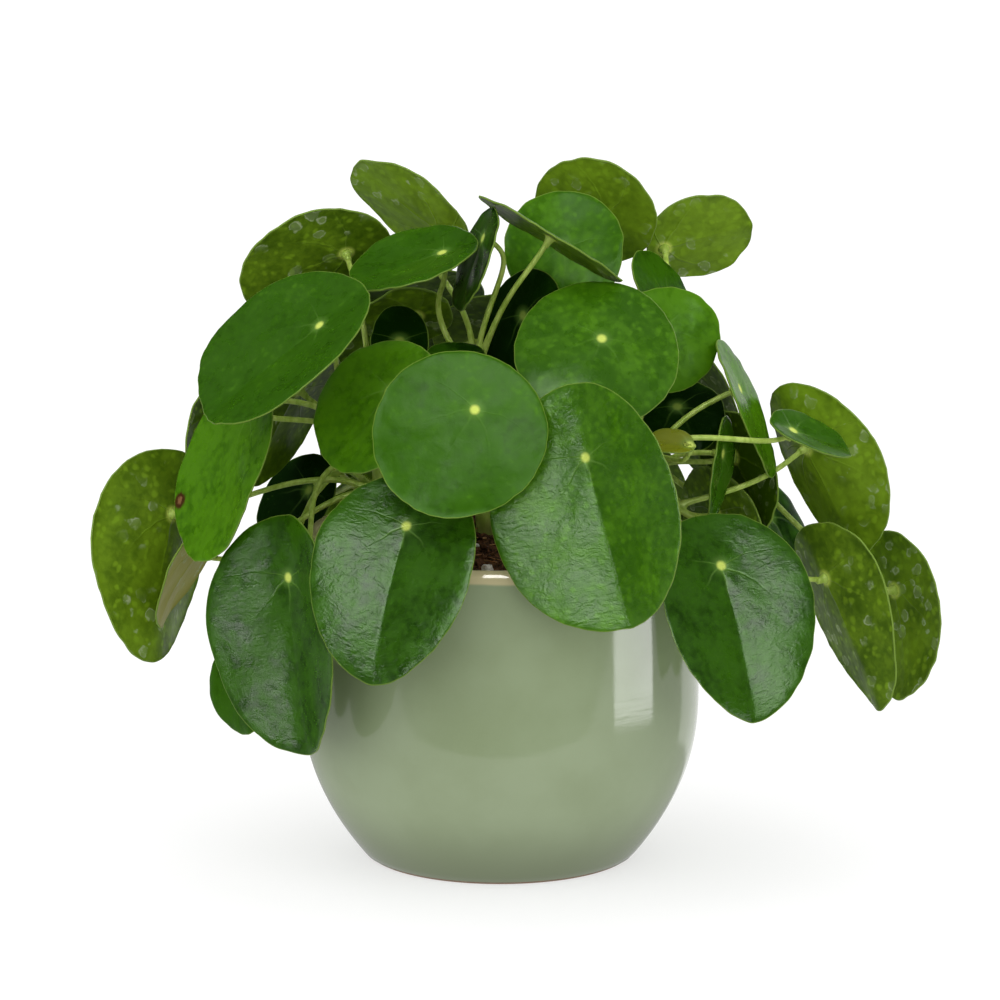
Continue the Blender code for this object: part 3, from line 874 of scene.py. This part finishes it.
        quilt = recipe.bump(recipe.noise(seed, 13, 3), self.under_depth)
        raised = recipe.bump(veins, 0.25 * MM, quilt)
        return recipe.finish(Base_Color=colour, Roughness=0.4, Normal=raised, IOR=1.45,
                             Specular_IOR_Level=0.7 * self.shine.value)

    def edge(self) -> Material:
        """The thin pale rim."""
        recipe = Recipe(f"{self.shine.name.lower()}_leaf_rim")
        brown = recipe.patches(recipe.place(), 60, 3, (0.6, 0.8), (0.0, 0.5))
        colour = recipe.blend(brown, self.rim, self.rim_brown)
        return recipe.finish(Base_Color=colour, Roughness=0.4, Specular_IOR_Level=0.15)


class Spectrum:
    """A smooth closed curve of numbers through evenly spaced samples."""

    def __init__(self, samples: Sequence[float]) -> None:
        """Works out the waves that make up the samples.

        Args:
            samples: Values at even steps round a full turn.
        """
        count = len(samples)
        self.waves: list[tuple[int, float, float]] = []
        for order in range(count // 2 + 1):
            share = 2 / count if 0 < order < count / 2 else 1 / count
            cosine = share * sum(s * math.cos(math.tau * order * i / count) for i, s in enumerate(samples))
            sine = share * sum(s * math.sin(math.tau * order * i / count) for i, s in enumerate(samples))
            self.waves.append((order, cosine, sine))

    def at(self, angle: float) -> float:
        """The curve's value at an angle."""
        return sum(c * math.cos(order * angle) + s * math.sin(order * angle) for order, c, s in self.waves)


class BladeForm:
    """A blade's upper face, read from its solid as a smooth surface over rings and angles."""

    inner_ring = 0.55

    def __init__(self, node: str, stalks: BVHTree) -> None:
        """Reads the solid.

        Args:
            node: The blade's solid.
            stalks: The surface of all the stems, which meet a blade from below.
        """
        solid = bmesh.new()
        solid.from_mesh(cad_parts[node].data)
        bmesh.ops.remove_doubles(solid, verts=solid.verts, dist=WELD)
        poles = sorted(solid.verts, key=lambda vertex: -len(vertex.link_edges))[:2]
        poles.sort(key=lambda vertex: -stalks.find_nearest(vertex.co)[3])
        pole = poles[0]
        inner = {edge.other_vert(pole) for edge in pole.link_edges}
        outer = {edge.other_vert(vertex) for vertex in inner for edge in vertex.link_edges} - inner - {pole}
        self.hub = pole.co.copy()
        self.normal = (pole.co - poles[1].co).normalized()
        centre = sum((vertex.co for vertex in outer), Vector()) / len(outer)
        self.tip = self.flat(centre - self.hub).normalized()
        self.side = self.normal.cross(self.tip)
        rim = sorted(outer, key=self.bearing)
        near = sorted(inner, key=self.bearing)
        start = max(range(len(rim)), key=lambda index: (rim[index].co - self.hub).dot(self.tip))
        rim = rim[start:] + rim[:start]
        first = min(range(len(near)), key=lambda index: abs(self.turn_between(near[index], rim[0])))
        near = near[first:] + near[:first]
        self.tip = self.flat(rim[0].co - self.hub).normalized()
        self.side = self.normal.cross(self.tip)
        self.outer = self.curves(rim)
        self.inner = self.curves(near)
        solid.free()

    def flat(self, offset: Vector) -> Vector:
        """The part of an offset that lies in the blade's plane."""
        return offset - offset.dot(self.normal) * self.normal

    def bearing(self, vertex: Vertex) -> float:
        """Angle of a vertex round the stalk."""
        offset = vertex.co - self.hub
        return math.atan2(offset.dot(self.side), offset.dot(self.tip))

    def turn_between(self, first: Vertex, second: Vertex) -> float:
        """Angle from one vertex to another round the stalk, between -180 and 180 degrees."""
        return math.remainder(self.bearing(first) - self.bearing(second), math.tau)

    def curves(self, ring: Sequence[Vertex]) -> tuple[Spectrum, Spectrum, Spectrum]:
        """Smooth curves of a ring's places along, across and off the blade."""
        offsets = [vertex.co - self.hub for vertex in ring]
        return tuple(Spectrum([o.dot(axis) for o in offsets]) for axis in (self.tip, self.side, self.normal))

    def spoke(self, angle: float) -> Callable[[float], Triple]:
        """The run of the surface from the stalk to the rim at an angle.

        Args:
            angle: Angle round the blade, 0 at the tip.

        Returns:
            A function from the share of the way out to the distances along, across and off the blade.
        """
        share = self.inner_ring
        ends = [curve.at(angle) for curve in self.outer]
        mids = [curve.at(angle) for curve in self.inner]
        bends = [(end - mid / share) / (1 - share) for end, mid in zip(ends[:2], mids[:2])]
        runs = [end - bend for end, bend in zip(ends[:2], bends)]
        cubic = (ends[2] - mids[2] / share**2) / (1 - share)
        square = ends[2] - cubic

        def at(reach: float) -> Triple:
            """Place on the spoke at a share of its length.

            Args:
                reach: The share of the way out, from 0 to 1.

            Returns:
                The distances along, across and off the blade.
            """
            along, across = (run * reach + bend * reach**2 for run, bend in zip(runs, bends))
            return along, across, square * reach**2 + cubic * reach**3

        return at


@dataclass(frozen=True)
class Habit:
    """How one leaf grew: its colour and gloss, its fold and crinkles, and how far its rim falls back. Its
    darkest tones are painted shade, for leaves that sit in the plant's shade.
    """

    tone: Tone = Tone.FRESH
    shine: Shine = Shine.GLOSSY
    crease: float = 0.0
    crinkle: float = 0.35
    dome: float = 0.0
    scar: Pair | None = None
    mirrored: bool = True


@dataclass
class Leaf:
    """One leaf blade, refined from its solid: quilted, with a soft midrib groove and a scalloped rim."""

    node: str
    form: BladeForm
    habit: Habit
    draw: float
    thickness: float = 0.8 * MM
    spokes: int = 108
    rings: int = 22
    tip_crowding: float = 0.45
    quilting: float = 0.35 * MM
    groove: float = 0.25 * MM
    groove_width: float = 1.8 * MM
    crease_width: float = 9 * MM
    swell: float = 0.55 * MM
    dimple: float = 0.5 * MM
    dimple_radius: float = 3.5 * MM
    plain_radius: float = 9 * MM
    scallop: float = 0.45 * MM
    frill_depth: float = 5 * MM
    curl: float = 0.5 * MM
    curl_depth: float = 0.9 * MM
    scar_bite: float = 1.2 * MM
    dome_reach: float = 45 * MM
    scar_radius: float = 5 * MM
    rim_steps: tuple[float, ...] = (3.2 * MM, 1.6 * MM, 0.7 * MM, 0.25 * MM, 0.0)

    def disc(self) -> Shape:
        """A flat disc of rings, whose radii are ring numbers.

        Returns:
            The disc's mesh.
        """
        shape = bmesh.new()
        radii = range(self.rings + len(self.rim_steps))
        turn_profile(shape, [(float(radius), 0.0) for radius in radii], self.spokes, merge=0.01)
        bmesh.ops.recalc_face_normals(shape, faces=shape.faces)
        if next(iter(shape.faces)).normal.z < 0:
            bmesh.ops.reverse_faces(shape, faces=shape.faces)
        return shape

    def ring_share(self, ring: int, length: float) -> float:
        """How far out a ring lies on a spoke.

        Args:
            ring: The ring's number, 0 at the hub.
            length: The spoke's length.

        Returns:
            The share of the way out, from 0 to 1.
        """
        border = 1 - (self.rim_steps[0] + 1.5 * MM) / length
        if ring < self.rings:
            return border * (ring / (self.rings - 1)) ** 1.15
        return 1 - self.rim_steps[ring - self.rings] / length

    def relief(self, along: float, across: float, inset: float) -> float:
        """How far the skin stands off the solid's surface.

        Args:
            along: Distance from the stalk towards the tip.
            across: Distance from the midrib.
            inset: Distance from the rim.

        Returns:
            The height, in metres.
        """
        place = Vector((along, across, self.draw))
        away = math.hypot(along, across)
        quilt = self.quilting * (noise.noise(place * 75) + 0.35 * noise.noise(place * 210))
        quilt += self.swell * noise.noise(place * 30)
        run = smooth_step(along, -4 * MM, 12 * MM)
        depth = self.groove * (0.2 + 0.8 * self.habit.crinkle)
        groove = -depth * run * math.exp(-((across / self.groove_width) ** 2))
        fold = 0.4 - math.exp(-math.hypot(across, 0.8 * MM) / self.crease_width)
        dome = -self.habit.dome * (along**2 + across**2) / self.dome_reach**2
        dimple = -self.dimple * math.exp(-((away / self.dimple_radius) ** 2))
        wave = noise.noise(Vector((along, across, self.draw + 5)) * 165)
        frill = self.scallop * math.exp(-inset / self.frill_depth) * wave
        curl = -self.curl * math.exp(-inset / self.curl_depth)
        quilt *= smooth_step(away, 0, self.plain_radius)
        return quilt + groove + self.habit.crease * run * fold + dome + dimple + frill + curl

    def scarred(self, along: float, across: float) -> float:
        """How near a place is to the leaf's scar.

        Args:
            along: Distance from the hub towards the tip.
            across: Distance off the midrib.

        Returns:
            1 in the scar's middle, and 0 outside it or where there is none.
        """
        if self.habit.scar is None:
            return 0.0
        away = math.hypot(along - self.habit.scar[0], across - self.habit.scar[1])
        return max(0.0, 1 - away / self.scar_radius)

    def build(self, materials: Sequence[Material]) -> Piece:
        """Builds the blade.

        Args:
            materials: Upper face, underside and rim.

        Returns:
            The leaf, in place of its solid.
        """
        shape = self.disc()
        sheet = shape.loops.layers.uv.new("blade")
        names = ("edge", "tone", "crinkle", "scar", "draw")
        edge, tone, crinkle, scar, chance = (shape.verts.layers.float.new(name) for name in names)
        by_angle: dict[int, list[Vertex]] = {}
        for vertex in shape.verts:
            turn = math.atan2(vertex.co.y, vertex.co.x) % math.tau
            by_angle.setdefault(round(turn / math.tau * self.spokes) % self.spokes, []).append(vertex)
        places: dict[Vertex, Pair] = {}
        for index, vertices in by_angle.items():
            turn = math.tau * index / self.spokes
            spoke = self.form.spoke(turn - self.tip_crowding * math.sin(turn))
            length = math.hypot(*spoke(1.0)[:2])
            for vertex in vertices:
                share = self.ring_share(round(vertex.co.xy.length), length)
                along, across, off = spoke(share)
                inset = (1 - share) * length
                off += self.relief(along, across, inset)
                wave = noise.noise(Vector((along, across, self.draw)) * 170)
                bite = 1 + 1.5 * self.scallop / length * share**6 * wave
                places[vertex] = (along, across)
                vertex[edge] = inset / MM
                vertex[tone] = self.habit.tone.value
                vertex[crinkle] = self.habit.crinkle
                vertex[scar] = self.scarred(along, across)
                bite -= self.scar_bite / length * vertex[scar]
                vertex[chance] = self.draw
                flat = self.form.tip * along * bite + self.form.side * across * bite
                vertex.co = self.form.hub + flat + self.form.normal * off
        for face in shape.faces:
            for loop in face.loops:
                along, across = places[loop.vert]
                loop[sheet].uv = (0.5 + 10 * along, 0.5 + 10 * across)
        piece = make_piece(self.node.replace("leaf_", "blade_"), shape, materials)
        solidify = piece.modifiers.new("Thickness", "SOLIDIFY")
        solidify.thickness = self.thickness
        solidify.offset = -1
        solidify.material_offset = 1
        solidify.material_offset_rim = 2
        slot = "young_leaf" if self.node == "leaf_young_gloss" else "leaf"
        return fit(piece, slot, self.node)


@dataclass
class Foliage:
    """All the leaves and the small collars under them, where the stalks run into the blades."""

    skins: tuple[LeafSkin, ...] = tuple(LeafSkin(shine=shine) for shine in Shine)
    collar_radius: float = 2.9 * MM
    stalk_radius: float = 1.5 * MM
    collar_length: float = 4.5 * MM
    collar_sides: int = 14
    seed: int = 3
    most_draw: float = 40.0
    habits: dict[str, Habit] = field(default_factory=dict)

    def stalk_surface(self) -> BVHTree:
        """The surface of all the stems' solids.

        Returns:
            The surface as a search tree.
        """
        joined = bmesh.new()
        for name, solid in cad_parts.items():
            if name.startswith("stem_"):
                joined.from_mesh(solid.data)
        tree = BVHTree.FromBMesh(joined)
        joined.free()
        return tree

    def collar(self, shape: Shape, form: BladeForm, thickness: float) -> None:
        """Adds the flare at the top of one stalk.

        Args:
            shape: The mesh of all the collars.
            form: The blade above it.
            thickness: The blade's thickness.
        """
        top = -0.5 * MM - 0.6 * thickness
        profile = (
            (0.0, top),
            (self.collar_radius, top),
            (0.72 * self.collar_radius, top - 1.0 * MM),
            (1.1 * self.stalk_radius, top - 2.4 * MM),
            (self.stalk_radius, top - self.collar_length),
            (0.0, top - self.collar_length),
        )
        turned = turn_profile(shape, profile, self.collar_sides)
        facing = Matrix((form.tip, form.side, form.normal)).transposed().to_4x4()
        bmesh.ops.transform(shape, matrix=Matrix.Translation(form.hub) @ facing, verts=turned)
        for vertex in turned:
            vertex.tag = True

    def build(self, stalk_skin: Material) -> list[Piece]:
        """Builds every leaf and the collars.

        Args:
            stalk_skin: The stalks' material.

        Returns:
            The pieces.
        """
        sets = {skin.shine: [skin.upper(), skin.underside(), skin.edge()] for skin in self.skins}
        stalks = self.stalk_surface()
        draw = random.Random(self.seed)
        collars = bmesh.new()
        pieces = []
        for node in sorted(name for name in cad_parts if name.startswith("leaf_")):
            form = BladeForm(node, stalks)
            habit = self.habits.get(node, Habit())
            leaf = Leaf(node, form, habit, draw.uniform(0, self.most_draw))
            pieces.append(leaf.build(sets[habit.shine]))
            pieces[-1].visible_glossy = habit.mirrored
            self.collar(collars, form, leaf.thickness)
        bmesh.ops.recalc_face_normals(collars, faces=collars.faces)
        pieces.append(fit(make_piece("stalk_collars", collars, [stalk_skin]), "stem"))
        return pieces


SHARED_HABITS = {
    # Painted shade: the leaves deep inside the plant get the darkest tones, and those seen through the gaps
    # at the back a dark one, standing in for the shade they sit in.
    Habit(Tone.DEEP, Shine.SHADED): ("left_shaded", "centre_dark", "inner_dark", "right_inner", "right_deep"),
    Habit(Tone.SHADED, Shine.SHADED): ("inner_young", "right_under"),
    Habit(Tone.DARK, Shine.SHADED): ("left_sliver", "right_shaded"),
    Habit(Tone.GOLDEN, Shine.SHADED): ("left_narrow",),
    Habit(Tone.DARK, Shine.SATIN): ("low_left", "back_high_1", "back_high_2", "back_high_3"),
    Habit(Tone.BRIGHT, Shine.SATIN): ("far_right_back",),
    Habit(Tone.BRIGHT, Shine.SATIN, crinkle=0.15): ("top_disc",),
    Habit(Tone.LIGHT, Shine.SATIN): ("top_centre_left", "right_narrow"),
    Habit(Tone.LIGHT, Shine.SATIN, crinkle=0.15): ("right_bright",),
    Habit(Tone.LIGHT, Shine.SATIN, scar=(48 * MM, -28 * MM)): ("left_mottled",),
    Habit(Tone.FRESH, Shine.SATIN, crinkle=0.15, dome=-3.5 * MM): ("front_disc",),
    Habit(Tone.SHADED): ("top_narrow",),
    Habit(Tone.BRIGHT): ("far_left",),
    Habit(Tone.LIGHT): ("top_back", "top_right", "far_right_high"),
    Habit(Tone.FRESH, crease=0.6 * MM, crinkle=0.3): ("upper_left",),
    Habit(Tone.BRIGHT, crinkle=0.15, dome=1.5 * MM): ("upper_disc",),
    Habit(Tone.LIGHT, crinkle=0.6, dome=1.5 * MM): ("inner_left",),
    Habit(Tone.DARK, crease=0.8 * MM, crinkle=0.6, dome=1.2 * MM): ("hanging_left",),
    Habit(Tone.BRIGHT, crease=2.0 * MM, crinkle=0.9): ("front_large",),
    Habit(Tone.DARK, crease=1.6 * MM, crinkle=1.0, dome=0.6 * MM): ("front_left",),
    Habit(Tone.DARK, crease=2.0 * MM, crinkle=0.8, dome=1.0 * MM, mirrored=False): ("right_disc",),
    Habit(Tone.GOLDEN, Shine.POLISHED, crinkle=0.0): ("young_gloss",),
}
HABITS = {f"leaf_{name}": habit for habit, names in SHARED_HABITS.items() for name in names}


# ---- Stems ----


@dataclass(frozen=True)
class StemSkin:
    """Fleshy pale green stalks that turn brownish down the stem."""

    green: Colour = (0.32, 0.47, 0.06, 1)
    pale: Colour = (0.50, 0.65, 0.14, 1)
    brown: Colour = (0.09, 0.07, 0.02, 1)
    brown_levels: Pair = (190 * MM, 160 * MM)
    brown_reach: Pair = (75 * MM, 45 * MM)
    brown_wander: float = 40 * MM

    def material(self) -> Material:
        """The stems' material."""
        recipe = Recipe("stalk_skin")
        place = recipe.place()
        height = recipe.parts(place)["Z"]
        streaks = recipe.patches(recipe.stretch(place, (1, 1, 0.3)), 420, 3)
        level = recipe.plus(height, recipe.times(recipe.noise(place, 70, 3), self.brown_wander))
        away = recipe.length(recipe.vector("MULTIPLY", place, (1, 1, 0)))
        low = recipe.times(recipe.fade(level, *self.brown_levels), recipe.fade(away, *self.brown_reach))
        colour = recipe.layers(self.green, (streaks, self.pale), (recipe.times(low, 0.75), self.brown))
        ribs = recipe.bump(recipe.noise(recipe.stretch(place, (1, 1, 0.25)), 900, 2), 0.15 * MM)
        return recipe.finish(Base_Color=colour, Roughness=0.38, Specular_IOR_Level=0.3, Normal=ribs,
                             Subsurface_Weight=0.15, Subsurface_Radius=(0.6 * MM, 1.0 * MM, 0.3 * MM))


@dataclass
class Stems:
    """The three stems with their stalks, rounded from their solids."""

    names: tuple[str, ...] = ("stem_main", "stem_right", "stem_left")
    levels: int = 2

    def build(self, skin: Material) -> list[Piece]:
        """Builds the rounded stems.

        Args:
            skin: Their material.

        Returns:
            The stems, in place of their solids.
        """
        pieces = []
        for name in self.names:
            shape = bmesh.new()
            shape.from_mesh(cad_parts[name].data)
            bmesh.ops.remove_doubles(shape, verts=shape.verts, dist=WELD)
            bmesh.ops.join_triangles(shape, faces=shape.faces, angle_face_threshold=0.7,
                                     angle_shape_threshold=1.2)
            piece = make_piece(name.replace("stem_", "stalks_"), shape, [skin])
            rounding = piece.modifiers.new("Rounding", "SUBSURF")
            rounding.levels = self.levels
            rounding.render_levels = self.levels
            pieces.append(fit(piece, "stem", name))
        return pieces


# ---- Studio ----


@dataclass(frozen=True)
class Panel:
    """A glowing stretch of the studio that gloss mirrors: its bearing from the front and rise, in degrees."""

    bearing: Pair
    rise: Pair
    glow: float
    soft: float = 4.0


PANELS = (
    Panel(bearing=(-26, 14), rise=(8, 57), glow=9.0, soft=10),
    Panel(bearing=(-51, -35), rise=(-6, 3), glow=13.0, soft=4),
    Panel(bearing=(69, 99), rise=(-13.8, -2), glow=3.7, soft=1.5),
    Panel(bearing=(130, 181), rise=(-20, 28), glow=1.0, soft=3),
    Panel(bearing=(-181, -111), rise=(-20, 0), glow=0.4, soft=3),
)


@dataclass
class Studio:
    """A plain pale floor, soft light from all round, panels for the gloss to mirror, and the camera."""

    distance: float = 3.0
    elevation: float = 12.05
    aim: float = 162.7 * MM
    lens: float = 240.0
    floor_size: float = 14.0
    sky: float = 1.25
    bounce: float = 0.75
    floor_glow: float = 0.61
    floor_mirror: float = 0.45
    floor_drop: float = 0.4
    floor_tones: tuple[Colour, Colour] = ((0.41, 0.41, 0.41, 1), (0.42, 0.42, 0.42, 1))
    backdrop: float = 1.1
    panels: tuple[Panel, ...] = PANELS

    def build_camera(self) -> None:
        """Sets up the camera."""
        data = bpy.data.cameras.new("camera")
        data.lens = self.lens
        camera = bpy.data.objects.new("camera", data)
        bpy.context.scene.collection.objects.link(camera)
        angle = math.radians(self.elevation)
        camera.location = (0, -self.distance * math.cos(angle), self.aim + self.distance * math.sin(angle))
        camera.rotation_euler = (math.pi / 2 - angle, 0, 0)
        bpy.context.scene.camera = camera

    def build_floor(self) -> None:
        """Lays the pale floor. The plant takes its bounce and mirror image from the studio's lower half."""
        recipe = Recipe("pale_floor")
        colour = recipe.blend(recipe.noise(recipe.place(), 3, 2), *self.floor_tones)
        shape = bmesh.new()
        bmesh.ops.create_grid(shape, x_segments=8, y_segments=8, size=self.floor_size / 2)
        material = recipe.finish(Base_Color=colour, Roughness=1.0, Specular_IOR_Level=0.0,
                                 Emission_Color=(1, 1, 1, 1), Emission_Strength=self.floor_glow)
        floor = make_piece("floor", shape, [material])
        floor.visible_glossy = False
        floor.visible_diffuse = False

    def mirrored(self, wiring: Wiring, way: Socket) -> Value:
        """What gloss mirrors: the panels, and the floor as far as its straight front edge.

        Args:
            wiring: The world's nodes.
            way: The direction looked in.

        Returns:
            The glow.
        """
        parts = wiring.parts(way)
        ahead = wiring.times(parts["Y"], -1.0)
        bearing = wiring.maths("DEGREES", wiring.maths("ARCTAN2", parts["X"], ahead))
        rise = wiring.maths("DEGREES", wiring.maths("ARCSINE", parts["Z"]))
        short = wiring.maths("MULTIPLY_ADD", ahead, self.floor_drop, parts["Z"])
        level = wiring.fade(rise, -4, -7)
        glow: Value = wiring.times(level, wiring.fade(short, 0.0, -0.02, 0.0, self.floor_mirror))
        for panel in self.panels:
            lit = wiring.times(wiring.window(bearing, panel.bearing, panel.soft),
                               wiring.window(rise, panel.rise, panel.soft))
            glow = wiring.maths("MAXIMUM", wiring.times(lit, panel.glow), glow)
        return glow

    def build_world(self) -> None:
        """Lights the studio evenly, with dark and panels for gloss alone and white behind the plant."""
        world = bpy.data.worlds.new("studio")
        world.use_nodes = True
        world.cycles.sampling_method = "NONE"
        wiring = Wiring(world.node_tree)
        way = wiring.node("ShaderNodeTexCoord").outputs["Generated"]
        height = wiring.parts(way)["Z"]
        even = wiring.fade(height, -0.2, 0.2, self.bounce, self.sky)
        ray = wiring.node("ShaderNodeLightPath").outputs
        other = wiring.maths("SUBTRACT", self.mirrored(wiring, way), even)
        glow = wiring.maths("MULTIPLY_ADD", other, ray["Is Glossy Ray"], even)
        glow = wiring.maths("MAXIMUM", glow, wiring.times(ray["Is Camera Ray"], self.backdrop))
        background = wiring.tree.nodes["Background"]
        wiring.plug(background.inputs["Strength"], glow)
        background.inputs["Color"].default_value = (1, 1, 1, 1)
        bpy.context.scene.world = world

    def build(self) -> None:
        """Sets up the camera, the floor and the light."""
        self.build_camera()
        self.build_floor()
        self.build_world()
        settings = bpy.context.scene.view_settings
        settings.view_transform = "Standard"
        settings.look = "None"


def main() -> None:
    """Builds the studio and the plant, and notes the sizes."""
    logging.basicConfig(level=logging.INFO, format="%(name)s: %(message)s")
    Studio().build()
    pot = GlazedPot()
    pot.build()
    SoilBed(pot).build()
    skin = StemSkin().material()
    Stems().build(skin)
    Foliage(habits=HABITS).build(skin)


if __name__ == "__main__":
    main()
